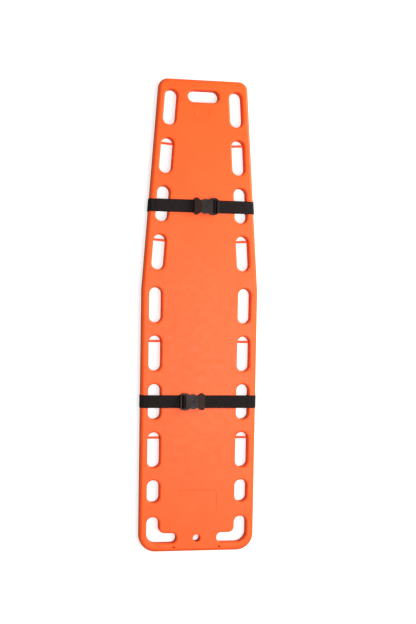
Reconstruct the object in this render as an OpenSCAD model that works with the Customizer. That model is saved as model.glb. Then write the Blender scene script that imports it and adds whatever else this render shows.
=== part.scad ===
// Spine board (rescue backboard): a tapered, foam-filled, blow-moulded board with hand slots,
// cross pins for speed clips, and two 50 mm webbing straps with side-release buckles.
// The board lies flat with its top face up. The wide head end is at -Y, the foot end at +Y.

/* [Board] */
// Overall length of the board
board_l = 1840; // [1800:5:1900]
// Width at the widest station
board_w = 460; // [450:2:480]
// Width at the wide (head) end
head_w = 453; // [445:1:460]
// Width at the narrow (foot) end
foot_w = 354; // [345:1:370]
// Distance of the widest station from the head end
bend_s = 1015; // [1000:5:1030]
// Thickness of the board body, without the runners
body_t = 44; // [40:1:50]
// Wall thickness of the moulded shell
wall = 3.5; // [3:0.25:4.5]
// Rounding of the outer edge
edge_r = 13; // [10:1:15]
// Plan radius of the head end corners
head_corner_r = 65; // [55:1:75]
// Plan radius of the foot end corners
foot_corner_r = 36; // [30:1:42]
// Height of the runners on the underside
runner_h = 6; // [5:0.5:8]
// Width of each runner
runner_w = 30; // [26:1:32]

/* [Hand slots] */
// Width of every side slot
slot_w = 49; // [46:1:50]
// Length of a long side slot
slot_l = 137; // [130:1:142]
// Length of the short side slot near the head end
short_slot_l = 87; // [80:1:92]
// Distance from the board's side edge to the slot axis
slot_inset = 53.6; // [52:0.2:56]
// Station of the short slot, from the head end
short_slot_s = 234; // [230:1:238]
// Station of the first long slot, from the head end
first_slot_s = 395; // [392:1:400]
// Spacing of the long slots
slot_pitch = 188; // [186:0.5:189]
// Extra spacing where the sides bend
bend_gap = 18; // [16:1:20]
// Width of the foot end handhold
handhold_w = 121; // [110:1:125]
// Height of the foot end handhold
handhold_h = 46; // [40:1:48]
// Rounding of the slot edges
slot_edge_r = 8; // [6:1:9]

/* [Clip pins] */
// Diameter of a clip pin
pin_d = 9; // [8:0.5:10]
// Distance of a pin from the slot centre, towards the foot end
pin_offset = 47; // [44:1:48]
// Depth that each pin end is seated in the shell
pin_seat = 3; // [2:0.5:3.5]

/* [Straps] */
// Width of the webbing
web_w = 50; // [48:1:52]
// Thickness of the webbing
web_t = 1.6; // [1.4:0.1:1.8]
// Station of the chest strap, from the head end
chest_strap_s = 584; // [578:1:586]
// Station of the leg strap, from the head end
leg_strap_s = 1346; // [1340:1:1350]
// Sideways place of the chest buckle
chest_buckle_x = -27; // [-40:1:0]
// Sideways place of the leg buckle
leg_buckle_x = 16; // [0:1:30]
// Overall width of a buckle, across the webbing
buckle_w = 66; // [64:1:68]

/* [Hidden] */

$fn = 48;
orange = [1.0, 0.36, 0.14];
foam_white = [0.93, 0.91, 0.84];
web_black = [0.10, 0.09, 0.09];
buckle_grey = [0.24, 0.22, 0.22];
plug_brown = [0.14, 0.10, 0.08];

base_z = runner_h;                // underside of the board body
top_z = runner_h + body_t;        // top face
mid_z = (base_z + top_z) / 2;
over = 2;                         // how far a cutter runs past a face
slot_wall = 6;                    // wall round each slot
pin_fit = 0.05;                   // clearance round a seated pin end
foam_gap = 0.2;                   // foam stands this far off the shell, left after curing
runner_x = 84;                    // runner axis from the centre line
runner_s = [190, 1620];           // first and last station of a runner
hole_r = 14;                      // round tether hole at the head end
hole_s = 50;
panel_w = 153;                    // blank moulded panels
panel_h = 80;
panel_s = 199;
mark_w = 46;
mark_h = 31;
mark_s = 1710;
panel_depth = 0.8;
panel_corner_r = 6;
corner_out = 198;                 // corner slot: outer wall, inner end and stations
corner_in = 80;
corner_low_s = 32;
corner_high_s = 134;
corner_arm_w = 49;
corner_leg_w = 39;
corner_outer_r = 40;
corner_inner_r = 22;
long_slots = 8;
foot_side_slots = 4;              // slots past this many lie beyond the bend
fill_plug_s = 900;
vent_plug_s = 300;

function y_at(s) = s - board_l / 2;
function half_w(s) = s < bend_s
    ? head_w / 2 + (board_w - head_w) / 2 * s / bend_s
    : board_w / 2 - (board_w - foot_w) / 2 * (s - bend_s) / (board_l - bend_s);
function side_angle(s) = s < bend_s
    ? atan((board_w - head_w) / 2 / bend_s)
    : -atan((board_w - foot_w) / 2 / (board_l - bend_s));
function slot_s(i) = first_slot_s + i * slot_pitch + (i >= foot_side_slots ? bend_gap : 0);
function slot_x(s) = half_w(s) - slot_inset;
function arc(x, y, r, a0, a1, n = 6) =
    [for (k = [0:n]) let (a = a0 + (a1 - a0) * k / n) [x + r * cos(a), y + r * sin(a)]];

// ---- board body ------------------------------------------------------------------------------

// One corner of the rounded body: a disc with a rounded rim, shrunk by inset on every side
module body_corner(corner_r, rim_r, low, high) {
    rotate_extrude($fn = 32)
        polygon(concat(
            [[0, low]],
            arc(corner_r - rim_r, low + rim_r, rim_r, -90, 0, 4),
            arc(corner_r - rim_r, high - rim_r, rim_r, 0, 90, 4),
            [[0, high]]
        ));
}

// The convex body of the board, with every face moved in by inset
module body_solid(inset) {
    rim_r = edge_r - inset;
    low = base_z + inset;
    high = top_z - inset;
    side_r = 60 - inset;
    hull() {
        for (side = [-1, 1]) {
            translate([side * (half_w(0) - head_corner_r), y_at(head_corner_r), 0])
                body_corner(head_corner_r - inset, rim_r, low, high);
            translate([side * (board_w / 2 - 60), y_at(bend_s), 0])
                body_corner(side_r, rim_r, low, high);
            translate([side * (half_w(board_l) - foot_corner_r), y_at(board_l - foot_corner_r), 0])
                body_corner(foot_corner_r - inset, rim_r, low, high);
        }
    }
}

// A solid with the outline of a slot: two half rounds joined by a straight stretch along Y
module oblong(length, width, low, high) {
    translate([0, 0, low]) linear_extrude(high - low) {
        square([width, length - width], center = true);
        for (end = [-1, 1]) translate([0, end * (length - width) / 2]) circle(d = width);
    }
}

// Rounded top edge of a slot, as a stack of three growing outlines
module stepped_flare(length, width) {
    for (step = [1:3]) {
        grow = slot_edge_r * (1 - cos(step * 28));
        depth = slot_edge_r * (1 - sin((step - 1) * 28));
        oblong(length + 2 * grow, width + 2 * grow, top_z - depth, top_z + over);
        oblong(length + 2 * grow, width + 2 * grow, base_z - over, base_z + depth);
    }
}

// What one hand slot takes out of the board
module slot_cutter(length, width) {
    oblong(length, width, base_z - over, top_z + over);
    stepped_flare(length, width);
}

// Places its children at every side slot; $length is that slot's length
module at_side_slots() {
    for (side = [-1, 1]) {
        translate([side * slot_x(short_slot_s), y_at(short_slot_s), 0])
            rotate([0, 0, -side * side_angle(short_slot_s)]) {
                $length = short_slot_l;
                children();
            }
        for (i = [0:long_slots - 1]) {
            translate([side * slot_x(slot_s(i)), y_at(slot_s(i)), 0])
                rotate([0, 0, -side * side_angle(slot_s(i))]) {
                    $length = slot_l;
                    children();
                }
        }
    }
}

// Plan outline of the right-hand corner slot, grown outwards by grow
function corner_outline(grow) = let (
    out = corner_out + grow,
    arm = corner_out - corner_arm_w - grow,
    in = corner_in - grow,
    low = corner_low_s - grow,
    high = corner_high_s + grow,
    leg = corner_low_s + corner_leg_w + grow,
    end_r = (corner_leg_w + 2 * grow) / 2 - 0.5,
    cap_r = (corner_arm_w + 2 * grow) / 2 - 0.5,
    inner_r = corner_inner_r - grow
) concat(
    arc(out - corner_outer_r - grow, low + corner_outer_r + grow, corner_outer_r + grow, -90, 0),
    arc(out - cap_r, high - cap_r, cap_r, 0, 90),
    arc(arm + cap_r, high - cap_r, cap_r, 90, 180),
    arc(arm - inner_r, leg + inner_r, inner_r, 0, -90),
    arc(in + end_r, leg - end_r, end_r, 90, 180),
    arc(in + end_r, low + end_r, end_r, 180, 270)
);

module corner_prism(grow, low, high) {
    translate([0, y_at(0), low]) linear_extrude(high - low) polygon(corner_outline(grow));
}

module corner_cutter() {
    corner_prism(0, base_z - over, top_z + over);
    for (step = [1:3]) {
        grow = slot_edge_r * (1 - cos(step * 28));
        depth = slot_edge_r * (1 - sin((step - 1) * 28));
        corner_prism(grow, top_z - depth, top_z + over);
        corner_prism(grow, base_z - over, base_z + depth);
    }
}

module at_handhold() {
    translate([0, y_at(1775), 0]) rotate([0, 0, 90]) children();
}

// Space inside the shell, shrunk by gap: the body less its walls and the tube round each opening
module interior(gap) {
    tube = slot_wall + gap;
    low = base_z - over;
    high = top_z + over;
    difference() {
        union() {
            body_solid(wall + gap);
            for (side = [-1, 1]) {
                translate([side * runner_x, (y_at(runner_s[0]) + y_at(runner_s[1])) / 2, 0])
                    oblong(runner_s[1] - runner_s[0] - 2 * (wall + gap) - 4,
                        runner_w - 2 * (wall + gap) - 4, wall + gap, base_z + wall + 4);
            }
        }
        at_side_slots() oblong($length + 2 * tube, slot_w + 2 * tube, low, high);
        at_handhold() oblong(handhold_w + 2 * tube, handhold_h + 2 * tube, low, high);
        corner_prism(tube, low, high);
        mirror([1, 0, 0]) corner_prism(tube, low, high);
        translate([0, y_at(hole_s), low]) cylinder(r = hole_r + tube, h = high - low);
        translate([0, y_at(fill_plug_s), low]) cylinder(r = 14 + gap, h = 22);
        translate([0, y_at(vent_plug_s), low]) cylinder(r = 9 + gap, h = 22);
    }
}

module panel_cutter(width, height, s) {
    r = panel_corner_r;
    translate([0, y_at(s), top_z - panel_depth]) linear_extrude(panel_depth + over)
        polygon(concat(
            arc(width / 2 - r, height / 2 - r, r, 0, 90),
            arc(-width / 2 + r, height / 2 - r, r, 90, 180),
            arc(-width / 2 + r, -height / 2 + r, r, 180, 270),
            arc(width / 2 - r, -height / 2 + r, r, 270, 360)
        ));
}

module board_shell() {
    color(orange) difference() {
        union() {
            body_solid(0);
            for (side = [-1, 1]) {
                translate([side * runner_x, (y_at(runner_s[0]) + y_at(runner_s[1])) / 2, 0])
                    oblong(runner_s[1] - runner_s[0], runner_w, 0, base_z + 1);
            }
        }
        interior(0);
        at_side_slots() slot_cutter($length, slot_w);
        at_handhold() slot_cutter(handhold_w, handhold_h);
        corner_cutter();
        mirror([1, 0, 0]) corner_cutter();
        translate([0, y_at(hole_s), base_z - over]) cylinder(r = hole_r, h = body_t + 2 * over);
        panel_cutter(panel_w, panel_h, panel_s);
        panel_cutter(mark_w, mark_h, mark_s);
        for (i = [0:2:long_slots - 1]) {
            for (side = [-1, 1]) clip_pin(side, i, pin_fit);
        }
        plug_solid(fill_plug_s, 10, pin_fit);
        plug_solid(vent_plug_s, 5, pin_fit);
    }
}

module foam_core() {
    color(foam_white) interior(foam_gap);
}

// A push-in plug, flush with the underside: a shank and a wider flat head
module plug_solid(s, shank_r, gap) {
    translate([0, y_at(s), base_z]) {
        cylinder(r = shank_r + gap, h = 12 + gap);
        translate([0, 0, gap > 0 ? -over : 0])
            cylinder(r = shank_r + 2.5 + gap, h = 2 + (gap > 0 ? over + gap : 0));
    }
}

// A cross pin that spans slot number i, with both ends seated in the slot's walls
module clip_pin(side, i, gap) {
    translate([side * slot_x(slot_s(i)), y_at(slot_s(i)), mid_z])
        rotate([0, 0, -side * side_angle(slot_s(i))])
            translate([-slot_w / 2 - pin_seat - gap, pin_offset, 0])
                rotate([0, 90, 0])
                    cylinder(d = pin_d + 2 * gap, h = slot_w + 2 * (pin_seat + gap));
}

// ---- straps ----------------------------------------------------------------------------------

plug_front = -19.6;               // tip of the plug's body, along the buckle
receiver_bar_u = 33;              // webbing bar of the receiver
plug_bar_u = -38;                 // webbing bar of the plug
bar_r = 2.4;
bar_z = 7.6;                      // bar height over the board's top face
web_gap = 0.3;
lift = web_gap + web_t / 2;       // middle of a webbing layer over the face it lies on
layer = web_t + 0.2;              // from one layer's middle to the next
tail_l = 35;                      // sewn tail behind each bar
rail_tail_l = 28;                 // sewn tail inside the slot
rail_w = slot_inset - slot_w / 2;

// Middle line of one strap half, seen along the board: x from the centre line outwards.
// It starts at the tail under the bar at x = bar, and ends at the tail sewn inside the slot.
// e is the side edge, narrow the edge's lowest x within the webbing's width.
function strap_path(bar, e, narrow) = let (
    low = top_z + lift,
    up = low + layer,
    turn = bar_r + lift,
    inner = narrow - rail_w,
    leg = inner - lift,
    slot_in = e - rail_w - slot_w
) concat(
    [[bar + tail_l, low]],
    arc(bar - turn + 2, low + 2, 2, -90, -180, 3),
    arc(bar, top_z + bar_z, turn, 180, 0, 10),
    arc(bar + turn + 2, up + 2, 2, 180, 270, 3),
    [[inner - 1, up], [inner + 9, low + 0.4]],
    arc(e - edge_r, top_z - edge_r, edge_r + lift, 90, 0, 8),
    arc(e - edge_r, base_z + edge_r, edge_r + lift, 0, -90, 8),
    arc(inner + slot_edge_r, base_z + slot_edge_r, slot_edge_r + lift, -90, -180, 6),
    arc(leg - 4, low - 4, 4, 0, 90, 4),
    [[slot_in - rail_tail_l, low]]
);

function unit(v) = v / norm(v);
// Direction of the path at point k
function heading(p, k) = unit(
    p[min(k + 1, len(p) - 1)] - p[max(k - 1, 0)]);
function beside(p, k, d) = let (h = heading(p, k)) p[k] + d * [-h[1], h[0]];

module ribbon(path, thickness, width) {
    rotate([90, 0, 0]) translate([0, 0, -width / 2]) linear_extrude(width)
        polygon(concat(
            [for (k = [0:len(path) - 1]) beside(path, k, thickness / 2)],
            [for (k = [len(path) - 1:-1:0]) beside(path, k, -thickness / 2)]
        ));
}

// One half of a strap. side says which way it runs from the buckle
module webbing(s, buckle_x, side, bar_u) {
    bar = side * buckle_x + abs(bar_u);
    e = max(half_w(s - web_w / 2), half_w(s + web_w / 2));
    narrow = min(half_w(s - web_w / 2), half_w(s + web_w / 2));
    color(web_black) translate([0, y_at(s), 0]) scale_x(side)
        ribbon(strap_path(bar, e, narrow), web_t, web_w);
}

module scale_x(side) {
    if (side < 0) {
        mirror([1, 0, 0]) children();
    } else {
        children();
    }
}

// Puts buckle parts in place: u runs from the plug to the receiver, which is on side
module at_buckle(s, buckle_x, side) {
    translate([buckle_x, y_at(s), top_z + 0.3]) scale_x(side) children();
}

module both_sides(points) {
    polygon(concat(points, [for (k = [len(points) - 1:-1:0]) [points[k][0], -points[k][1]]]));
}

module window(u0, u1, half_width, low, high) {
    translate([u0, -half_width, low]) cube([u1 - u0, 2 * half_width, high - low]);
}

receiver_h = 15;
plug_plate_z = 12.4;              // underside of the plate that covers the webbing in the plug
mouth_half = 22.4;                // inside half width of the mouth
web_slot_half = web_w / 2 + 1;

// Lens-shaped outline of the plug; the mouth of the receiver follows its front
module plug_outline() {
    both_sides([
        [-48, 27.5], [-43, 31.5], [-37.5, buckle_w / 2], [-32, 31], [-26, 23], [-21.5, 10.5],
        [plug_front, 2]
    ]);
}

module receiver_body() {
    difference() {
        linear_extrude(receiver_h) both_sides([
            [-25, 24.4], [-14, 24.2], [-9.5, 18.8], [-5.5, 17.6], [-1, 18.4], [4, 21.6], [10, 26.6],
            [17, 31.4], [24, buckle_w / 2], [38, buckle_w / 2], [42, 30.5], [44, 28], [48, 27.5]
        ]);
        translate([0.5, 0, -1]) linear_extrude(receiver_h + 2) plug_outline();
        window(-26, 20, mouth_half, 3.2, 11.8);
        window(-14, 9.5, 40, 3.2, 11.8);
        window(25.5, 43, web_slot_half, -1, receiver_h + 1);
        window(42.5, 50, web_slot_half, -1, 4.4);
    }
    translate([receiver_bar_u, web_slot_half + 1, bar_z - 0.3]) rotate([90, 0, 0])
        cylinder(r = bar_r, h = 2 * web_slot_half + 2);
}

module plug_body() {
    difference() {
        linear_extrude(14) plug_outline();
        window(-44.5, -31.8, web_slot_half, -1, plug_plate_z);
        window(-50, -44, web_slot_half, -1, 4.4);
        for (side = [-1, 1]) {
            translate([-29.9, side * 16.2 - 4.2, 3.5]) cube([15, 8.4, 8]);
        }
    }
    translate([plug_bar_u, web_slot_half + 1, bar_z - 0.3]) rotate([90, 0, 0])
        cylinder(r = bar_r, h = 2 * web_slot_half + 2);
    window(-22, 8, 3.5, 4, 11);
}

// One squeeze arm of the plug, on the +Y side; root at the plug's front
module prong() {
    translate([0, 0, 4]) linear_extrude(7) polygon([
        [-29.2, 14.9], [-29.2, 18.1], [-24, 18.9], [-12.9, 19.4], [-12.9, 26.5], [-9.5, 28.4],
        [-5, 29.3], [-1, 29.2], [3, 28.2], [6.2, 26], [8.6, 20.6], [14.5, 18.6], [14.5, 16.2],
        [-6, 15.8], [-24, 15]
    ]);
}

module chest_webbing_receiver_side() {
    webbing(chest_strap_s, chest_buckle_x, -1, receiver_bar_u);
}

module chest_webbing_plug_side() {
    webbing(chest_strap_s, chest_buckle_x, 1, plug_bar_u);
}

module chest_buckle_receiver() {
    color(buckle_grey) at_buckle(chest_strap_s, chest_buckle_x, -1) receiver_body();
}

module chest_buckle_plug() {
    color(plug_brown) at_buckle(chest_strap_s, chest_buckle_x, -1) plug_body();
}

module chest_buckle_prong_foot_side() {
    color(buckle_grey) at_buckle(chest_strap_s, chest_buckle_x, -1) prong();
}

module chest_buckle_prong_head_side() {
    color(buckle_grey) at_buckle(chest_strap_s, chest_buckle_x, -1) mirror([0, 1, 0]) prong();
}

module leg_webbing_receiver_side() {
    webbing(leg_strap_s, leg_buckle_x, 1, receiver_bar_u);
}

module leg_webbing_plug_side() {
    webbing(leg_strap_s, leg_buckle_x, -1, plug_bar_u);
}

module leg_buckle_receiver() {
    color(buckle_grey) at_buckle(leg_strap_s, leg_buckle_x, 1) receiver_body();
}

module leg_buckle_plug() {
    color(plug_brown) at_buckle(leg_strap_s, leg_buckle_x, 1) plug_body();
}

module leg_buckle_prong_foot_side() {
    color(buckle_grey) at_buckle(leg_strap_s, leg_buckle_x, 1) prong();
}

module leg_buckle_prong_head_side() {
    color(buckle_grey) at_buckle(leg_strap_s, leg_buckle_x, 1) mirror([0, 1, 0]) prong();
}

module clip_pin_head_left() { color(orange) clip_pin(-1, 0, 0); }
module clip_pin_head_right() { color(orange) clip_pin(1, 0, 0); }
module clip_pin_hip_left() { color(orange) clip_pin(-1, 2, 0); }
module clip_pin_hip_right() { color(orange) clip_pin(1, 2, 0); }
module clip_pin_knee_left() { color(orange) clip_pin(-1, 4, 0); }
module clip_pin_knee_right() { color(orange) clip_pin(1, 4, 0); }
module clip_pin_foot_left() { color(orange) clip_pin(-1, 6, 0); }
module clip_pin_foot_right() { color(orange) clip_pin(1, 6, 0); }
module foam_fill_plug() { color(orange) plug_solid(fill_plug_s, 10, 0); }
module vent_plug() { color(orange) plug_solid(vent_plug_s, 5, 0); }

board_shell();
foam_core();
foam_fill_plug();
vent_plug();
clip_pin_head_left();
clip_pin_head_right();
clip_pin_hip_left();
clip_pin_hip_right();
clip_pin_knee_left();
clip_pin_knee_right();
clip_pin_foot_left();
clip_pin_foot_right();
chest_webbing_receiver_side();
chest_webbing_plug_side();
chest_buckle_receiver();
chest_buckle_plug();
chest_buckle_prong_head_side();
chest_buckle_prong_foot_side();
leg_webbing_receiver_side();
leg_webbing_plug_side();
leg_buckle_receiver();
leg_buckle_plug();
leg_buckle_prong_head_side();
leg_buckle_prong_foot_side();
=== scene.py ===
"""Looks of the spine board: orange moulded board, cross pins, webbing and side-release buckles."""

import math

import bmesh
import bpy
from mathutils import Matrix, Vector, noise
from mathutils.geometry import delaunay_2d_cdt


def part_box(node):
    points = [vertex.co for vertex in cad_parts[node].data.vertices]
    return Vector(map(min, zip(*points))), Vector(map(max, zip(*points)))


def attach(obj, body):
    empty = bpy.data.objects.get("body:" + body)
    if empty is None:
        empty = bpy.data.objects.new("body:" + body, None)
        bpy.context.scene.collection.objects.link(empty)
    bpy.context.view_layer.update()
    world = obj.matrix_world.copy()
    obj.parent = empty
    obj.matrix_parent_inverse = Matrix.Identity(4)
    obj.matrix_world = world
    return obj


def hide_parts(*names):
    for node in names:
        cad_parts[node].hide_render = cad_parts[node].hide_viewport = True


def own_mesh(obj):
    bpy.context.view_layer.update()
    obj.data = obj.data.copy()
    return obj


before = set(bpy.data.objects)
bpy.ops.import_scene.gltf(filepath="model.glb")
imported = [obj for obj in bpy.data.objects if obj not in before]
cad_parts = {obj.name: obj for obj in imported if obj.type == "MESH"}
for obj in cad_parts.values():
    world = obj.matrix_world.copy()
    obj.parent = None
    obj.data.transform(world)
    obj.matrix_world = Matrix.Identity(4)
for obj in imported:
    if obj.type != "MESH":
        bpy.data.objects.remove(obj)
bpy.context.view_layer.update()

# ---- driving dimensions, in metres, as in the CAD model ---------------------------------------
MM = 0.001
shell_low, shell_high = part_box("board_shell")
BOARD_L = shell_high.y - shell_low.y
BOARD_W = shell_high.x - shell_low.x
TOP = shell_high.z
BODY_T = 44 * MM
BASE = TOP - BODY_T
MID = (TOP + BASE) / 2
HEAD_W = 453 * MM
FOOT_W = 354 * MM
BEND_S = 1015 * MM
EDGE_R = 13 * MM
CORNERS = (65 * MM, 60 * MM, 36 * MM)      # plan radii at the head end, the bend and the foot end
SLOT_W = 49 * MM
SLOT_L = 137 * MM
SHORT_SLOT_L = 87 * MM
SLOT_INSET = 53.6 * MM
SLOT_R = 8 * MM
SHORT_SLOT_S = 234 * MM
LONG_SLOTS = [(395 + 188 * i + (18 if i >= 4 else 0)) * MM for i in range(8)]
HANDHOLD = (121 * MM, 46 * MM, 1775 * MM)
HOLE_R, HOLE_S = 14 * MM, 50 * MM
RUNNER_X, RUNNER_W = 84 * MM, 30 * MM
RUNNER_S = (190 * MM, 1620 * MM)
PANEL = (153 * MM, 80 * MM, 199 * MM)      # width, height, station of the blank panel
MARK = (46 * MM, 31 * MM, 1710 * MM)
PANEL_DEPTH = 0.8 * MM
RAIL_W = SLOT_INSET - SLOT_W / 2
WEB_W, WEB_T = 50 * MM, 1.6 * MM
LIFT = 0.3 * MM + WEB_T / 2
LAYER = WEB_T + 0.2 * MM
BAR_R, BAR_Z = 2.4 * MM, 7.6 * MM
RAIL_TAIL = 28 * MM


def y_at(s):
    return s - BOARD_L / 2


def half_w(s):
    if s < BEND_S:
        return HEAD_W / 2 + (BOARD_W - HEAD_W) / 2 * s / BEND_S
    return BOARD_W / 2 - (BOARD_W - FOOT_W) / 2 * (s - BEND_S) / (BOARD_L - BEND_S)


def side_angle(s):
    if s < BEND_S:
        return math.atan((BOARD_W - HEAD_W) / 2 / BEND_S)
    return -math.atan((BOARD_W - FOOT_W) / 2 / (BOARD_L - BEND_S))


# ---- material nodes ---------------------------------------------------------------------------
def new_material(name):
    material = bpy.data.materials.new(name)
    material.use_nodes = True
    tree = material.node_tree
    return material, tree.nodes, tree.links, tree.nodes["Principled BSDF"]


def add(nodes, kind, **values):
    made = nodes.new(kind)
    for key, value in values.items():
        if key in made.inputs:
            made.inputs[key].default_value = value
        else:
            setattr(made, key, value)
    return made


def ramp(nodes, stops):
    made = nodes.new("ShaderNodeValToRGB")
    elements = made.color_ramp.elements
    while len(elements) < len(stops):
        elements.new(0.5)
    for element, (place, colour) in zip(elements, stops):
        element.position = place
        element.color = colour if len(colour) == 4 else (*colour, 1)
    return made


def grey(value):
    return (value, value, value, 1)


def moulded_plastic(name, dark, light, rough, grain, bump, wave=0.0, specular=0.2):
    """Moulded plastic: mottled colour, fine grain and, where asked, slow waves in the surface."""
    material, nodes, links, shader = new_material(name)
    place = add(nodes, "ShaderNodeTexCoord")
    mottle = add(nodes, "ShaderNodeTexNoise", Scale=9.0, Detail=5.0, Roughness=0.6)
    fine = add(nodes, "ShaderNodeTexNoise", Scale=grain, Detail=3.0, Roughness=0.55)
    smear = add(nodes, "ShaderNodeTexNoise", Scale=42.0, Detail=4.0, Roughness=0.7)
    for texture in (mottle, fine, smear):
        links.new(place.outputs["Object"], texture.inputs["Vector"])
    colour = ramp(nodes, [(0.32, dark), (0.68, light)])
    links.new(mottle.outputs["Fac"], colour.inputs["Fac"])
    links.new(colour.outputs["Color"], shader.inputs["Base Color"])
    gloss = ramp(nodes, [(0.3, grey(rough - 0.05)), (0.7, grey(rough + 0.07))])
    links.new(smear.outputs["Fac"], gloss.inputs["Fac"])
    links.new(gloss.outputs["Color"], shader.inputs["Roughness"])
    grain_bump = add(nodes, "ShaderNodeBump", Strength=bump, Distance=0.00012)
    links.new(fine.outputs["Fac"], grain_bump.inputs["Height"])
    if wave:
        slow = add(nodes, "ShaderNodeTexNoise", Scale=7.0, Detail=1.0)
        links.new(place.outputs["Object"], slow.inputs["Vector"])
        slow_bump = add(nodes, "ShaderNodeBump", Strength=wave, Distance=0.004)
        links.new(slow.outputs["Fac"], slow_bump.inputs["Height"])
        links.new(slow_bump.outputs["Normal"], grain_bump.inputs["Normal"])
    links.new(grain_bump.outputs["Normal"], shader.inputs["Normal"])
    shader.inputs["Specular IOR Level"].default_value = specular
    return material


def webbing_material():
    """Black polyester webbing: ribs across, twill along, and a darker selvedge. UV is in metres."""
    material, nodes, links, shader = new_material("webbing_weave")
    place = add(nodes, "ShaderNodeUVMap", uv_map="cloth")
    split = add(nodes, "ShaderNodeSeparateXYZ")
    links.new(place.outputs["UV"], split.inputs["Vector"])
    waves = []
    for axis, pitch in (("X", 1.6), ("Y", 1.1)):
        scaled = add(nodes, "ShaderNodeMath", operation="MULTIPLY")
        scaled.inputs[1].default_value = 2 * math.pi / (pitch * MM)
        sine = add(nodes, "ShaderNodeMath", operation="SINE")
        links.new(split.outputs[axis], scaled.inputs[0])
        links.new(scaled.outputs[0], sine.inputs[0])
        waves.append(sine)
    weave = add(nodes, "ShaderNodeMath", operation="MULTIPLY")
    links.new(waves[0].outputs[0], weave.inputs[0])
    links.new(waves[1].outputs[0], weave.inputs[1])
    wear = add(nodes, "ShaderNodeTexNoise", Scale=120.0, Detail=4.0)
    links.new(place.outputs["UV"], wear.inputs["Vector"])
    mixed = add(nodes, "ShaderNodeMath", operation="MULTIPLY_ADD")
    mixed.inputs[1].default_value = 0.25
    links.new(weave.outputs[0], mixed.inputs[0])
    links.new(wear.outputs["Fac"], mixed.inputs[2])
    colour = ramp(nodes, [(0.2, (0.004, 0.0020, 0.0016)), (0.8, (0.014, 0.0082, 0.0072))])
    links.new(mixed.outputs[0], colour.inputs["Fac"])
    edge = add(nodes, "ShaderNodeMath", operation="ABSOLUTE")
    links.new(split.outputs["X"], edge.inputs[0])
    rim = add(nodes, "ShaderNodeMapRange")
    rim.inputs["From Min"].default_value = 21.5 * MM
    rim.inputs["From Max"].default_value = 23.5 * MM
    rim.inputs["To Min"].default_value = 1.0
    rim.inputs["To Max"].default_value = 0.4
    links.new(edge.outputs[0], rim.inputs["Value"])
    darker = add(nodes, "ShaderNodeVectorMath", operation="SCALE")
    links.new(colour.outputs["Color"], darker.inputs[0])
    links.new(rim.outputs["Result"], darker.inputs["Scale"])
    links.new(darker.outputs["Vector"], shader.inputs["Base Color"])
    gloss = ramp(nodes, [(0.2, grey(0.58)), (0.8, grey(0.78))])
    links.new(wear.outputs["Fac"], gloss.inputs["Fac"])
    links.new(gloss.outputs["Color"], shader.inputs["Roughness"])
    shader.inputs["Specular IOR Level"].default_value = 0.14
    shader.inputs["Sheen Weight"].default_value = 0.01
    shader.inputs["Sheen Roughness"].default_value = 0.5
    bump = add(nodes, "ShaderNodeBump", Strength=0.55, Distance=0.00035)
    links.new(weave.outputs[0], bump.inputs["Height"])
    links.new(bump.outputs["Normal"], shader.inputs["Normal"])
    return material


ORANGE = moulded_plastic("board_polyethylene", (0.95, 0.100, 0.012), (0.99, 0.110, 0.015), 0.42,
                         1100, 0.30, 0.06, 0.18)
PIN_ORANGE = moulded_plastic("pin_plastic", (0.93, 0.090, 0.012), (0.98, 0.102, 0.015), 0.36, 1500, 0.25)
PLUG_ORANGE = moulded_plastic("plug_plastic", (0.82, 0.080, 0.012), (0.90, 0.092, 0.014), 0.55, 1500, 0.4)
GREY = moulded_plastic("buckle_grey_plastic", (0.015, 0.0095, 0.0085), (0.024, 0.017, 0.015), 0.40,
                       1700, 0.45, specular=0.1)
BROWN = moulded_plastic("buckle_brown_plastic", (0.018, 0.0055, 0.003), (0.026, 0.009, 0.006), 0.45,
                        1700, 0.35, specular=0.08)
PRONG = moulded_plastic("prong_plastic", (0.008, 0.006, 0.0055), (0.013, 0.010, 0.009), 0.42, 1700, 0.4)
FOAM = moulded_plastic("foam_fill", (0.72, 0.66, 0.52), (0.86, 0.82, 0.70), 0.85, 400, 0.9)
WEBBING = webbing_material()
THREAD = moulded_plastic("stitch_thread", (0.005, 0.004, 0.004), (0.013, 0.010, 0.009), 0.7, 2500, 0.6)


# ---- mesh helpers -----------------------------------------------------------------------------
def finish_piece(name, mesh_data, material, body, slot_name, *nodes):
    """Turns a bmesh into a named smooth piece that rides on a body."""
    if isinstance(mesh_data, bmesh.types.BMesh):
        mesh = bpy.data.meshes.new(name)
        mesh_data.to_mesh(mesh)
        mesh_data.free()
    else:
        mesh = mesh_data
    piece = bpy.data.objects.new(name, mesh)
    bpy.context.scene.collection.objects.link(piece)
    mesh.materials.clear()
    mesh.materials.append(material)
    mesh.shade_smooth()
    if name == "board" or slot_name.startswith("buckle"):
        weigh_normals(mesh)
    elif slot_name == "webbing":
        mark_sharp(mesh)
    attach(piece, body)
    if nodes:
        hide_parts(*nodes)
    return piece


def weigh_normals(mesh):
    """Lets the large faces set the shading, so that the bevels carry the turn."""
    sums = [Vector() for _ in mesh.vertices]
    for face in mesh.polygons:
        for index in face.vertices:
            sums[index] += face.normal * face.area
    mesh.normals_split_custom_set_from_vertices([total.normalized() for total in sums])


def mark_sharp(mesh, limit=40):
    """Keeps true corners crisp while rounds stay smooth."""
    bm = bmesh.new()
    bm.from_mesh(mesh)
    for edge in bm.edges:
        if len(edge.link_faces) == 2:
            edge.smooth = edge.calc_face_angle(0) < math.radians(limit)
    bm.to_mesh(mesh)
    bm.free()


def sample_line(p, q, normal, step):
    """Points from p up to, but not including, q, each with the same normal."""
    count = max(1, round((q - p).length / step))
    return [(p.lerp(q, k / count), normal) for k in range(count)]


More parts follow.
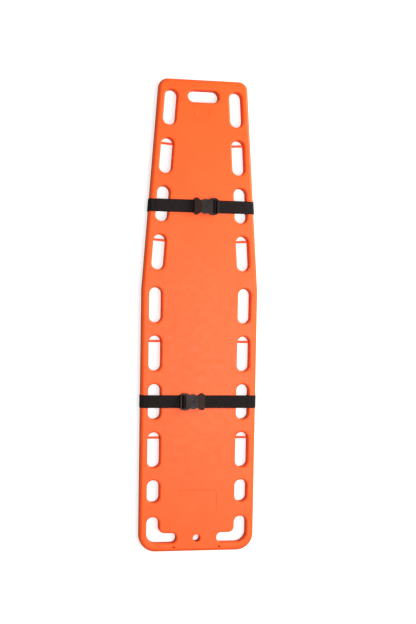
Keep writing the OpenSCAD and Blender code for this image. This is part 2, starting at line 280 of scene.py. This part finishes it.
def arcs_outline(arcs, step=7 * MM):
    """A closed outline through arcs (centre x, y, radius, start and end angle in degrees).

    An arc whose end angle is less than its start is concave. Gives (point, outward normal)."""
    runs = []
    for x, y, r, a0, a1 in arcs:
        sign = 1 if a1 > a0 else -1
        count = max(3, math.ceil(abs(a1 - a0) / 7.5))
        run = []
        for k in range(count + 1):
            a = math.radians(a0 + (a1 - a0) * k / count)
            out = Vector((math.cos(a), math.sin(a)))
            run.append((Vector((x, y)) + r * out, sign * out))
        runs.append(run)
    outline = []
    for k, run in enumerate(runs):
        outline += run[:-1]
        start, end = run[-1], runs[(k + 1) % len(runs)][0]
        if (end[0] - start[0]).length > 0.1 * MM:
            outline += sample_line(start[0], end[0], start[1], step)
        elif (end[0] - start[0]).length > 1e-7:
            outline.append(start)
    return outline


def moved(outline, x, y, angle):
    turn = Matrix.Rotation(angle, 2)
    return [(turn @ p + Vector((x, y)), turn @ n) for p, n in outline]


def mirrored(outline):
    flip = [(Vector((-p.x, p.y)), Vector((-n.x, n.y))) for p, n in outline]
    return flip[::-1]


def oblong(width, length):
    """Outline of a slot along Y, centred on the origin."""
    r, reach = width / 2, (length - width) / 2
    return arcs_outline([(0, reach, r, 0, 180), (0, -reach, r, 180, 360)])


def rounded_box(width, height, r):
    x, y = width / 2 - r, height / 2 - r
    return arcs_outline([
        (x, y, r, 0, 90), (-x, y, r, 90, 180), (-x, -y, r, 180, 270), (x, -y, r, 270, 360),
    ])


def corner_slot():
    """The right-hand L-shaped slot at the head end."""
    out, inner, low, high = 198 * MM, 80 * MM, 32 * MM, 134 * MM
    arm, leg = 198 * MM - 49 * MM, 32 * MM + 39 * MM
    cap, end, big, small = 24 * MM, 19 * MM, 40 * MM, 22 * MM
    return moved(arcs_outline([
        (out - big, low + big, big, -90, 0),
        (out - cap, high - cap, cap, 0, 90),
        (arm + cap, high - cap, cap, 90, 180),
        (arm - small, leg + small, small, 0, -90),
        (inner + end, leg - end, end, 90, 180),
        (inner + end, low + end, end, 180, 270),
    ]), 0, y_at(0), 0)


def body_outline():
    """The board's convex outline: the hull of its six corner discs, by its support function."""
    head, bend, foot = CORNERS
    discs = [
        (half_w(0) - head, y_at(head), head),
        (BOARD_W / 2 - bend, y_at(BEND_S), bend),
        (half_w(BOARD_L) - foot, y_at(BOARD_L - foot), foot),
    ]
    discs += [(-x, y, r) for x, y, r in discs]

    def touched(a):
        c, s = math.cos(a), math.sin(a)
        best = max(range(6), key=lambda k: discs[k][0] * c + discs[k][1] * s + discs[k][2])
        return best, Vector((discs[best][0] + discs[best][2] * c, discs[best][1] + discs[best][2] * s))

    outline = []
    steps = 288
    for k in range(steps):
        a, b = 2 * math.pi * (k + 0.5) / steps, 2 * math.pi * (k + 1.5) / steps
        first, p = touched(a)
        second = touched(b)[0]
        outline.append((p, Vector((math.cos(a), math.sin(a)))))
        if first != second:
            low, high = a, b
            for _ in range(40):
                middle = (low + high) / 2
                if touched(middle)[0] == first:
                    low = middle
                else:
                    high = middle
            n = Vector((math.cos(low), math.sin(low)))
            outline += sample_line(touched(low)[1], touched(high)[1], n, 9 * MM)
            outline.append((touched(high)[1], n))
    return outline


# ---- board ------------------------------------------------------------------------------------
def waves(x, y):
    """Slow unevenness of a moulded face."""
    return 0.22 * MM * noise.noise(Vector((x * 6, y * 6, 0.3)))


def wall_profile(radius, draft, seam):
    """(outward shift, height) from the top face down to the underside, for a rounded wall."""
    arc_steps = 8
    rows = [(radius + 1.6 * MM, TOP), (radius, TOP)]
    for k in range(1, arc_steps + 1):
        a = math.radians(90 * k / arc_steps)
        rows.append((radius * (1 - math.sin(a)), TOP - radius * (1 - math.cos(a))))
    for lift, shift in ((1.6, 0), (0.7, 0), (0, seam), (-0.7, 0), (-1.6, 0)):
        rows.append((-draft + shift, MID + lift * MM))
    for k in range(arc_steps, 0, -1):
        a = math.radians(90 * k / arc_steps)
        rows.append((radius * (1 - math.sin(a)), BASE + radius * (1 - math.cos(a))))
    return rows + [(radius, BASE), (radius + 1.6 * MM, BASE)]


def ring(bm, outline, shift, z):
    return [bm.verts.new((p.x + n.x * shift, p.y + n.y * shift, z)) for p, n in outline]


def bridge(bm, upper, lower):
    count = len(upper)
    for k in range(count):
        bm.faces.new((upper[k], upper[(k + 1) % count], lower[(k + 1) % count], lower[k]))


def inside(point, loop):
    hit = False
    x, y = point
    for k in range(len(loop)):
        (x1, y1), (x2, y2) = loop[k - 1], loop[k]
        if (y1 > y) != (y2 > y) and x < x1 + (y - y1) * (x2 - x1) / (y2 - y1):
            hit = not hit
    return hit


def fill_face(bm, outer, holes, z, grid):
    """Fills the flat face between an outer ring and hole rings, with a grid of points in it."""
    loops = [outer] + holes
    flat = [[(v.co.x, v.co.y) for v in loop] for loop in loops]
    boxes = []
    for loop in flat:
        xs, ys = [p[0] for p in loop], [p[1] for p in loop]
        boxes.append((min(xs), max(xs), min(ys), max(ys)))

    def in_material(point, margin=0.0):
        if not inside(point, flat[0]):
            return False
        for loop, (x0, x1, y0, y1) in zip(flat[1:], boxes[1:]):
            near = x0 - margin < point[0] < x1 + margin and y0 - margin < point[1] < y1 + margin
            if near and (margin or inside(point, loop)):
                return False
        return True

    verts = [v for loop in loops for v in loop]
    coords = [Vector((v.co.x, v.co.y)) for v in verts]
    edges = []
    start = 0
    for loop in loops:
        edges += [(start + k, start + (k + 1) % len(loop)) for k in range(len(loop))]
        start += len(loop)
    x0, x1, y0, y1 = boxes[0]
    for i in range(1, int((x1 - x0) / grid)):
        for j in range(1, int((y1 - y0) / grid)):
            point = (x0 + i * grid, y0 + j * grid)
            if x0 + grid < point[0] < x1 - grid and in_material(point, 3 * MM):
                verts.append(bm.verts.new((*point, z)))
                coords.append(Vector(point))
    out, _, faces, origins, _, _ = delaunay_2d_cdt(coords, edges, [], 0, 1e-7)
    for face in faces:
        centre = sum((out[k] for k in face), Vector((0, 0))) / len(face)
        if in_material(centre):
            corners = [verts[origins[k][0]] for k in face]
            if len(set(corners)) == 3 and bm.faces.get(corners) is None:
                bm.faces.new(corners)


def board():
    bm = bmesh.new()
    slots = []
    for side in (-1, 1):
        for s, length in [(SHORT_SLOT_S, SHORT_SLOT_L)] + [(s, SLOT_L) for s in LONG_SLOTS]:
            x = side * (half_w(s) - SLOT_INSET)
            slots.append(moved(oblong(SLOT_W, length), x, y_at(s), -side * side_angle(s)))
    slots.append(moved(oblong(HANDHOLD[1], HANDHOLD[0]), 0, y_at(HANDHOLD[2]), math.pi / 2))
    slots += [corner_slot(), mirrored(corner_slot())]
    hole = moved(arcs_outline([(0, 0, HOLE_R, 0, 180), (0, 0, HOLE_R, 180, 360)]), 0, y_at(HOLE_S), 0)

    outer = [ring(bm, body_outline(), -shift, z) for shift, z in wall_profile(EDGE_R, 0, -0.3 * MM)]
    for upper, lower in zip(outer, outer[1:]):
        bridge(bm, upper, lower)
    tops, bases = [], []
    for outline, radius in [(o, SLOT_R) for o in slots] + [(hole, 5 * MM)]:
        rings = [ring(bm, outline, shift, z) for shift, z in wall_profile(radius, 0.4 * MM, 0.25 * MM)]
        for upper, lower in zip(rings, rings[1:]):
            bridge(bm, upper, lower)
        tops.append(rings[0])
        bases.append(rings[-1])

    for width, height, s in (PANEL, MARK):
        outline = moved(rounded_box(width, height, 6 * MM), 0, y_at(s), 0)
        steps = [
            (2.2, 0), (0.9, 0), (0.45, -0.08), (0.1, -0.3), (-0.1, -0.5), (-0.45, -0.72), (-0.9, -0.8),
            (-2.2, -0.8),
        ]
        rings = [ring(bm, outline, a * MM, TOP + b * MM) for a, b in steps]
        for upper, lower in zip(rings, rings[1:]):
            bridge(bm, upper, lower)
        tops.append(rings[0])
        fill_face(bm, rings[-1], [], TOP - PANEL_DEPTH, 14 * MM)

    for side in (-1, 1):
        middle = (RUNNER_S[0] + RUNNER_S[1]) / 2
        outline = moved(oblong(RUNNER_W, RUNNER_S[1] - RUNNER_S[0]), side * RUNNER_X, y_at(middle), 0)
        steps = [
            (1.5, 6), (0.4, 5.9), (-0.6, 5.2), (-1.4, 3.6), (-2.2, 1.8), (-3.2, 0.6), (-4.6, 0.05), (-6, 0),
        ]
        rings = [ring(bm, outline, a * MM, b * MM) for a, b in steps]
        for upper, lower in zip(rings, rings[1:]):
            bridge(bm, upper, lower)
        bases.append(rings[0])
        fill_face(bm, rings[-1], [], 0, 40 * MM)

    fill_face(bm, outer[0], tops, TOP, 13 * MM)
    fill_face(bm, outer[-1], bases, BASE, 20 * MM)
    for v in bm.verts:
        if abs(v.co.z - TOP) < 1e-6 or abs(v.co.z - (TOP - PANEL_DEPTH)) < 1e-6:
            v.co.z += waves(v.co.x, v.co.y) - 0.15 * MM
    bmesh.ops.recalc_face_normals(bm, faces=bm.faces)
    return finish_piece("board", bm, ORANGE, "board", "board_orange", "board_shell")


def lathe(bm, profile, place, steps=40):
    """Turns a profile of (radius, height) about the local Z axis and places it."""
    rings = []
    for r, z in profile:
        rings.append([
            bm.verts.new(place @ Vector((r * math.cos(a), r * math.sin(a), z)))
            for a in (2 * math.pi * k / steps for k in range(steps))
        ])
    for upper, lower in zip(rings, rings[1:]):
        bridge(bm, upper, lower)
    bm.faces.new(rings[0])
    bm.faces.new(rings[-1][::-1])


def clip_pins():
    """Cross pins, with a small moulded collar where each one meets the slot wall."""
    names = {0: "head", 2: "hip", 4: "knee", 6: "foot"}
    r, half = 4.5 * MM, SLOT_W / 2
    profile = [(r - 0.6 * MM, -half - 2.9 * MM), (r, -half - 2.5 * MM), (r + 1.6 * MM, -half - 0.2 * MM)]
    for k in range(1, 6):
        a = math.radians(90 * k / 5)
        profile.append((r + 1.6 * MM * (1 - math.sin(a)), -half + 1.8 * MM * (1 - math.cos(a)) - 0.1 * MM))
    profile += [(r, half * t) for t in (-0.8, -0.4, 0.0, 0.4, 0.8)]
    profile += [(radius, -z) for radius, z in profile[7::-1]]
    for i, name in names.items():
        s = LONG_SLOTS[i]
        for side, hand in ((-1, "left"), (1, "right")):
            node = f"clip_pin_{name}_{hand}"
            place = (
                Matrix.Translation((side * (half_w(s) - SLOT_INSET), y_at(s), MID))
                @ Matrix.Rotation(-side * side_angle(s), 4, "Z")
                @ Matrix.Translation((0, 47 * MM, 0))
                @ Matrix.Rotation(math.pi / 2, 4, "Y")
            )
            bm = bmesh.new()
            lathe(bm, profile, place)
            bmesh.ops.recalc_face_normals(bm, faces=bm.faces)
            finish_piece("pin_" + name + "_" + hand, bm, PIN_ORANGE, "board", "pin_orange", node)


def underside_plugs():
    """Press-in plugs in the underside: a flat head with a rim and a dimple."""
    for node, s, r in (("foam_fill_plug", 900, 12.5), ("vent_plug", 300, 7.5)):
        place = Matrix.Translation((0, y_at(s * MM), BASE))
        steps = [
            (0.05, 0.9), (0.18, 0.8), (0.35, 0.25), (0.6, 0.15), (0.72, 0.0), (0.9, 0.0), (0.98, 0.2),
            (1, 0.8),
        ]
        profile = [(a * r * MM, b * MM) for a, b in steps]
        profile += [
            (r * MM, 2 * MM), ((r - 2.5) * MM, 2.01 * MM), ((r - 2.7) * MM, 11.6 * MM),
            ((r - 3.2) * MM, 12 * MM),
        ]
        bm = bmesh.new()
        lathe(bm, profile, place, 48)
        bmesh.ops.recalc_face_normals(bm, faces=bm.faces)
        finish_piece(node + "_detail", bm, PLUG_ORANGE, "board", "plug_orange", node)


# ---- webbing ----------------------------------------------------------------------------------
def arc_points(x, z, r, a0, a1, n):
    return [
        Vector((x + r * math.cos(math.radians(a)), z + r * math.sin(math.radians(a))))
        for a in (a0 + (a1 - a0) * k / n for k in range(n + 1))
    ]


def densify(points, step):
    out = []
    for p, q in zip(points, points[1:]):
        count = max(1, round((q - p).length / step))
        out += [p.lerp(q, k / count) for k in range(count)]
    return out + [points[-1]]


def ribbon(name, path, shift_at, place, body, replaced=(), v_start=0.0):
    """A woven strip of rounded section along path (x, z), with the shift of each point by y."""
    across = 20
    half = WEB_W / 2
    bm = bmesh.new()
    uv = bm.loops.layers.uv.new("cloth")
    coords = {}
    rings = []
    run = v_start
    for k, point in enumerate(path):
        ahead, behind = path[min(k + 1, len(path) - 1)], path[max(k - 1, 0)]
        along = (ahead - behind).normalized()
        normal = Vector((-along.y, along.x))
        if k:
            run += (point - path[k - 1]).length
        cut = []
        for face in (1, -1):
            for j in range(across + 1):
                y = face * (-half + 2 * half * j / across)
                edge = max(0.0, (abs(y) - (half - 1.2 * MM)) / (1.2 * MM))
                depth = face * WEB_T / 2 * math.sqrt(max(0.0, 1 - edge * edge * 0.9))
                p = point + normal * depth
                vert = bm.verts.new(place @ Vector((p.x + shift_at(point, y), y, p.y)))
                coords[vert] = (y, run)
                cut.append(vert)
        rings.append(cut)
    for upper, lower in zip(rings, rings[1:]):
        bridge(bm, upper, lower)
    bm.faces.new(rings[0])
    bm.faces.new(rings[-1][::-1])
    bmesh.ops.recalc_face_normals(bm, faces=bm.faces)
    for face in bm.faces:
        for loop in face.loops:
            loop[uv].uv = coords[loop.vert]
    return finish_piece(name, bm, WEBBING, body, "webbing", *replaced)


def stitches(name, x0, x1, z, place, body):
    """A sewn box with a cross, as rows of short raised stitches on the top layer."""
    half_v = 18 * MM
    corners = [Vector((x0, -half_v)), Vector((x1, -half_v)), Vector((x1, half_v)), Vector((x0, half_v))]
    rows = [(corners[k], corners[(k + 1) % 4]) for k in range(4)]
    rows += [(corners[0], corners[2]), (corners[1], corners[3])]
    bm = bmesh.new()
    pitch, length, width = 3.4 * MM, 2.4 * MM, 0.42 * MM
    for a, b in rows:
        direction = (b - a).normalized()
        turn = Matrix.Rotation(math.atan2(direction.y, direction.x), 4, "Z")
        for k in range(int((b - a).length / pitch)):
            centre = a + direction * (k + 0.5) * pitch
            stretch = Matrix.Diagonal((length / 2, width, width, 1))
            spot = place @ Matrix.Translation((centre.x, centre.y, z)) @ turn @ stretch
            bmesh.ops.create_icosphere(bm, subdivisions=1, radius=1, matrix=spot)
    bmesh.ops.recalc_face_normals(bm, faces=bm.faces)
    finish_piece(name, bm, THREAD, body, "webbing")


def strap_half(strap, s, buckle_x, side, bar_u, end):
    """One half of a strap: the loop round the rail, the run over the board and the fold at the bar."""
    bar = side * buckle_x + bar_u
    low, up = TOP + LIFT, TOP + LIFT + LAYER
    turn = BAR_R + LIFT
    e = max(half_w(s - WEB_W / 2), half_w(s + WEB_W / 2))
    narrow = min(half_w(s - WEB_W / 2), half_w(s + WEB_W / 2))
    inner = narrow - RAIL_W
    slot_in = e - RAIL_W - SLOT_W
    place = Matrix.Translation((0, y_at(s), 0)) @ Matrix.Diagonal((side, 1, 1, 1))
    moving = end == "plug"
    body = f"{strap}_plug" if moving else "board"
    tail = 22 * MM if moving else 34 * MM

    fold = densify(
        [Vector((bar + tail, low))]
        + arc_points(bar - turn + 2 * MM, low + 2 * MM, 2 * MM, -90, -180, 5)
        + arc_points(bar, TOP + BAR_Z, turn, 180, 0, 16)
        + arc_points(bar + turn + 2 * MM, up + 2 * MM, 2 * MM, 180, 270, 5)
        + [Vector((bar + tail + 2 * MM, up))],
        2.5 * MM,
    )
    anchor = slot_in - 6 * MM
    flat = densify([Vector((bar + tail + 2 * MM, up)), Vector((anchor, up))], 4 * MM)
    loop = densify(
        [Vector((anchor, up)), Vector((inner - 3 * MM, up)), Vector((inner + 3 * MM, up - 0.6 * MM)),
         Vector((inner + 9 * MM, low + 0.4 * MM))]
        + arc_points(e - EDGE_R, TOP - EDGE_R, EDGE_R + LIFT, 90, 0, 14)
        + arc_points(e - EDGE_R, BASE + EDGE_R, EDGE_R + LIFT, 0, -90, 14)
        + arc_points(inner + SLOT_R, BASE + SLOT_R, SLOT_R + LIFT, -90, -180, 10)
        + arc_points(inner - LIFT - 4 * MM, low - 4 * MM, 4 * MM, 0, 90, 6)
        + [Vector((slot_in - RAIL_TAIL, low))],
        3 * MM,
    )

    def follow(point, y):
        edge = half_w(s + y)
        if point.x < inner - 12 * MM:
            return 0.0
        if point.x < inner + 6 * MM and point.y < up - 0.9 * MM:
            return edge - narrow
        share = min(1.0, max(0.0, (point.x - inner) / (12 * MM)))
        return share * (edge - e)

    node = f"{strap}_webbing_{end}_side"
    tag = f"{strap}_{end}"
    ribbon(f"webbing_loop_{tag}", loop, follow, place, "board", (node,), 0.1)
    run = ribbon(f"webbing_run_{tag}", flat, lambda p, y: 0.0, place, "board", (), 0.0)
    ribbon(f"webbing_fold_{tag}", fold, lambda p, y: 0.0, place, body, (), 0.0)
    if moving:
        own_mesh(run)
    stitch_z = up + WEB_T / 2 + 0.05 * MM
    stitches(f"stitching_bar_{tag}", bar + 11 * MM, bar + tail - 1 * MM, stitch_z, place, body)
    first, last = slot_in - RAIL_TAIL + 3 * MM, slot_in - 8 * MM
    stitches(f"stitching_rail_{tag}", first, last, stitch_z, place, "board")


# ---- buckles ----------------------------------------------------------------------------------
def smooth_half(points, steps=6):
    """Catmull-Rom curve through the points of a half outline, in millimetres."""
    out = []
    for k in range(len(points) - 1):
        p0, p1 = points[max(k - 1, 0)], points[k]
        p2, p3 = points[k + 1], points[min(k + 2, len(points) - 1)]
        for j in range(steps):
            t = j / steps
            out.append(tuple(
                0.5 * (2 * b + (c - a) * t + (2 * a - 5 * b + 4 * c - d) * t * t
                       + (3 * b - a - 3 * c + d) * t ** 3)
                for a, b, c, d in zip(p0, p1, p2, p3)
            ))
    return out + [points[-1]]


def symmetric(points):
    return points + [(u, -v) for u, v in reversed(points)]


def slab(outline, z0, z1):
    """A closed prism in millimetres, as an unlinked-scene object for boolean work."""
    bm = bmesh.new()
    lower = [bm.verts.new((u, v, z0)) for u, v in outline]
    upper = [bm.verts.new((u, v, z1)) for u, v in outline]
    bridge(bm, upper, lower)
    bm.faces.new(upper)
    bm.faces.new(lower[::-1])
    bmesh.ops.recalc_face_normals(bm, faces=bm.faces)
    return scratch(bm)


def scratch(bm):
    mesh = bpy.data.meshes.new("scratch")
    bm.to_mesh(mesh)
    bm.free()
    made = bpy.data.objects.new("scratch", mesh)
    bpy.context.scene.collection.objects.link(made)
    return made


def cube(u0, u1, v0, v1, z0, z1):
    return slab([(u0, v0), (u1, v0), (u1, v1), (u0, v1)], z0, z1)


def rod(u, z, r, half):
    bm = bmesh.new()
    turn = Matrix.Translation((u, 0, z)) @ Matrix.Rotation(math.pi / 2, 4, "X")
    lathe(bm, [(r, -half), (r, half)], turn, 32)
    bmesh.ops.recalc_face_normals(bm, faces=bm.faces)
    return scratch(bm)


def dish(u, v, z, ru, rv, rz):
    bm = bmesh.new()
    place = Matrix.Translation((u, v, z)) @ Matrix.Diagonal((ru, rv, rz, 1))
    bmesh.ops.create_uvsphere(bm, u_segments=40, v_segments=24, radius=1, matrix=place)
    return scratch(bm)


def combine(base, tools, operation):
    for tool in tools:
        modifier = base.modifiers.new("join", "BOOLEAN")
        modifier.operation = operation
        modifier.solver = "EXACT"
        modifier.object = tool
    bpy.context.view_layer.update()
    mesh = bpy.data.meshes.new_from_object(base.evaluated_get(bpy.context.evaluated_depsgraph_get()))
    base.modifiers.clear()
    old = base.data
    base.data = mesh
    bpy.data.meshes.remove(old)
    for tool in tools:
        data = tool.data
        bpy.data.objects.remove(tool)
        bpy.data.meshes.remove(data)
    return base


def softened(base, width, segments=3):
    """Rounds every sharp edge and gives the mesh back, still in millimetres."""
    bevel = base.modifiers.new("bevel", "BEVEL")
    bevel.width = width
    bevel.segments = segments
    bevel.limit_method = "ANGLE"
    bevel.angle_limit = math.radians(32)
    bevel.use_clamp_overlap = True
    bpy.context.view_layer.update()
    mesh = bpy.data.meshes.new_from_object(base.evaluated_get(bpy.context.evaluated_depsgraph_get()))
    bpy.data.objects.remove(base)
    return mesh


def place_buckle(mesh, s, buckle_x, side, crown=0.0, span=33.0):
    """Moves a mesh in buckle millimetres to its place; crown rounds off the outer parts' height."""
    for v in mesh.vertices:
        u, w, z = v.co
        if z > 7.5:
            z -= crown * (w / span) ** 2
        v.co = Vector((buckle_x + side * u * MM, y_at(s) + w * MM, TOP + (0.3 + z) * MM))
    if side < 0:
        mesh.flip_normals()
    return mesh


def plug_outline(shift=0.0):
    """Lens-shaped outline of the plug; the mouth of the receiver follows its front."""
    half = smooth_half([
        (-48, 26.8), (-46, 29), (-43, 31.4), (-40, 32.7), (-37, 33), (-34, 32.3), (-31, 30.2), (-28, 26.8),
        (-25.5, 22.4), (-23.2, 16.4), (-21.3, 9.6), (-20, 3.4), (-19.6, 0.4),
    ])
    return symmetric([(u + shift, v) for u, v in half])


def receiver_mesh():
    """The female half: a waisted two-plate housing, open at the sides where the prongs show."""
    outline = symmetric(smooth_half([
        (-25, 22.4), (-24.6, 23.8), (-23, 24.4), (-18, 24.4), (-14.6, 23.8), (-12, 21.4), (-9, 18.5),
        (-5.5, 17.6),
        (-1.5, 18.3), (3, 20.8), (7, 23.8), (12, 28), (17, 31), (22, 32.6), (28, 33), (36, 32.9),
        (40.5, 31.6), (43, 29.2), (44.6, 27.6), (48, 27.2),
    ]))
    body = slab(outline, 0, 15)
    tools = [
        slab(plug_outline(0.5), -1, 16),
        cube(-26, 20, -22.4, 22.4, 3.2, 11.8), cube(-14, 9.5, -40, 40, 3.2, 11.8),
        cube(25.5, 43, -26, 26, -1, 16), cube(42.5, 50, -26, 26, -1, 4.4),
        dish(-4, 0, 26.8, 15, 13, 13),
    ]
    combine(body, tools, "DIFFERENCE")
    combine(body, [rod(33, 7.3, 2.4, 27)], "UNION")
    return softened(body, 0.8)


def plug_mesh():
    """The male half: a lens-shaped body over its webbing bar, with the guide tongue."""
    body = slab(plug_outline(), 0, 14)
    tools = [cube(-44.5, -31.8, -26, 26, -1, 12.4), cube(-50, -44, -26, 26, -1, 4.4)]
    tools += [cube(-29.9, -15, s * 16.2 - 4.2, s * 16.2 + 4.2, 3.5, 11.5) for s in (-1, 1)]
    combine(body, tools, "DIFFERENCE")
    combine(body, [rod(-38, 7.3, 2.4, 27), cube(-24, 8, -3.5, 3.5, 4, 11)], "UNION")
    return softened(body, 0.7)


def prong_mesh():
    """One squeeze arm with a ribbed finger pad and a catch behind the mouth of the receiver."""
    outline = [
        (-29.2, 14.9), (-29.2, 18.1), (-24, 18.9), (-12.9, 19.4), (-12.9, 25.8), (-11.6, 27.3),
        (-9.2, 28.5),
        (-5.4, 29.3), (-1.2, 29.2), (2.6, 28.4), (5.4, 26.8), (7.2, 23.8), (8.6, 20.6), (12, 19.8),
        (14.5, 18.4), (14.5, 16.4), (-6, 15.8), (-24, 15),
    ]
    body = slab(outline, 4, 11)
    grips = [cube(u, u + 0.9, 28.3, 31, 3, 12) for u in (-9.4, -6.9, -4.4, -1.9, 0.6)]
    combine(body, grips, "DIFFERENCE")
    return softened(body, 0.35, 2)


def buckle(strap, s, buckle_x, side):
    mesh = place_buckle(receiver_mesh(), s, buckle_x, side, 1.6)
    finish_piece(f"{strap}_receiver_detail", mesh, GREY, "board", "buckle_grey", f"{strap}_buckle_receiver")
    mesh = place_buckle(plug_mesh(), s, buckle_x, side, 0.9)
    finish_piece(f"{strap}_plug_detail", mesh, BROWN, f"{strap}_plug", "buckle_brown",
                 f"{strap}_buckle_plug")
    for end, sign in (("foot", 1), ("head", -1)):
        mesh = prong_mesh()
        if sign < 0:
            for v in mesh.vertices:
                v.co.y = -v.co.y
            mesh.flip_normals()
        place_buckle(mesh, s, buckle_x, side)
        finish_piece(f"{strap}_prong_{end}_detail", mesh, PRONG, f"{strap}_prong_{end}", "buckle_prong",
                     f"{strap}_buckle_prong_{end}_side")


# ---- the object -------------------------------------------------------------------------------
board()
clip_pins()
underside_plugs()
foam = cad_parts["foam_core"]
foam.data.materials.clear()
foam.data.materials.append(FOAM)
for strap, station, middle, facing in (("chest", 584 * MM, -27 * MM, -1), ("leg", 1346 * MM, 16 * MM, 1)):
    buckle(strap, station, middle, facing)
    strap_half(strap, station, middle, facing, 33 * MM, "receiver")
    strap_half(strap, station, middle, -facing, 38 * MM, "plug")


# ---- floor, light and camera ------------------------------------------------------------------
def seen_or_lit(tree, seen, lit):
    """What the viewer sees directly, and the dimmer white that lights the object."""
    path = tree.nodes.new("ShaderNodeLightPath")
    mix = tree.nodes.new("ShaderNodeMixShader")
    tree.links.new(path.outputs["Is Camera Ray"], mix.inputs["Fac"])
    tree.links.new(lit.outputs[0], mix.inputs[1])
    tree.links.new(seen.outputs[0], mix.inputs[2])
    return mix


def floor():
    mesh = bpy.data.meshes.new("floor")
    size, low = 40, -0.5 * MM
    corners = [(-size, -size, low), (size, -size, low), (size, size, low), (-size, size, low)]
    mesh.from_pydata(corners, [], [(0, 1, 2, 3)])
    piece = bpy.data.objects.new("floor", mesh)
    bpy.context.scene.collection.objects.link(piece)
    material, nodes, links, shader = new_material("floor_white")
    shader.inputs["Base Color"].default_value = (0.5, 0.5, 0.5, 1)
    shader.inputs["Roughness"].default_value = 0.9
    shader.inputs["Specular IOR Level"].default_value = 0.1
    shader.inputs["Emission Color"].default_value = (1, 1, 1, 1)
    shader.inputs["Emission Strength"].default_value = 0.72
    lit = add(nodes, "ShaderNodeBsdfDiffuse", Color=(0.5, 0.5, 0.5, 1))
    mix = seen_or_lit(material.node_tree, shader, lit)
    links.new(mix.outputs[0], nodes["Material Output"].inputs["Surface"])
    mesh.materials.append(material)


def area_light(name, place, target, size, power):
    data = bpy.data.lights.new(name, "AREA")
    data.energy = power
    data.size = size
    light = bpy.data.objects.new(name, data)
    bpy.context.scene.collection.objects.link(light)
    light.location = place
    light.rotation_euler = (Vector(target) - Vector(place)).to_track_quat("-Z", "Y").to_euler()


def studio():
    floor()
    area_light("softbox", (1.0, -0.4, 3.8), (0, -0.2, 0), 1.7, 120)
    area_light("side", (2.7, 1.3, 1.1), (0, 0.1, 0), 1.2, 120)
    world = bpy.data.worlds.new("studio")
    bpy.context.scene.world = world
    world.use_nodes = True
    tree = world.node_tree
    seen = tree.nodes["Background"]
    seen.inputs["Color"].default_value = (1, 1, 1, 1)
    seen.inputs["Strength"].default_value = 1.0
    lit = tree.nodes.new("ShaderNodeBackground")
    lit.inputs["Strength"].default_value = 0.36
    lit.inputs["Color"].default_value = (1, 1, 1, 1)
    mix = seen_or_lit(tree, seen, lit)
    tree.links.new(mix.outputs[0], tree.nodes["World Output"].inputs["Surface"])
    bpy.context.scene.view_settings.view_transform = "Standard"


def camera():
    """A long lens high above the board, a little to its left, turned towards it."""
    data = bpy.data.cameras.new("camera")
    data.sensor_fit = "VERTICAL"
    data.sensor_height = 36
    data.lens = 68.25
    eye = bpy.data.objects.new("camera", data)
    bpy.context.scene.collection.objects.link(eye)
    turn = Vector((0.004, 0.197, -0.016))
    seen = Matrix.Rotation(turn.length, 3, turn.normalized())
    eye.matrix_world = Matrix.Translation((-0.8743, 0.0254, 4.5833)) @ seen.transposed().to_4x4()
    bpy.context.scene.camera = eye


studio()
camera()
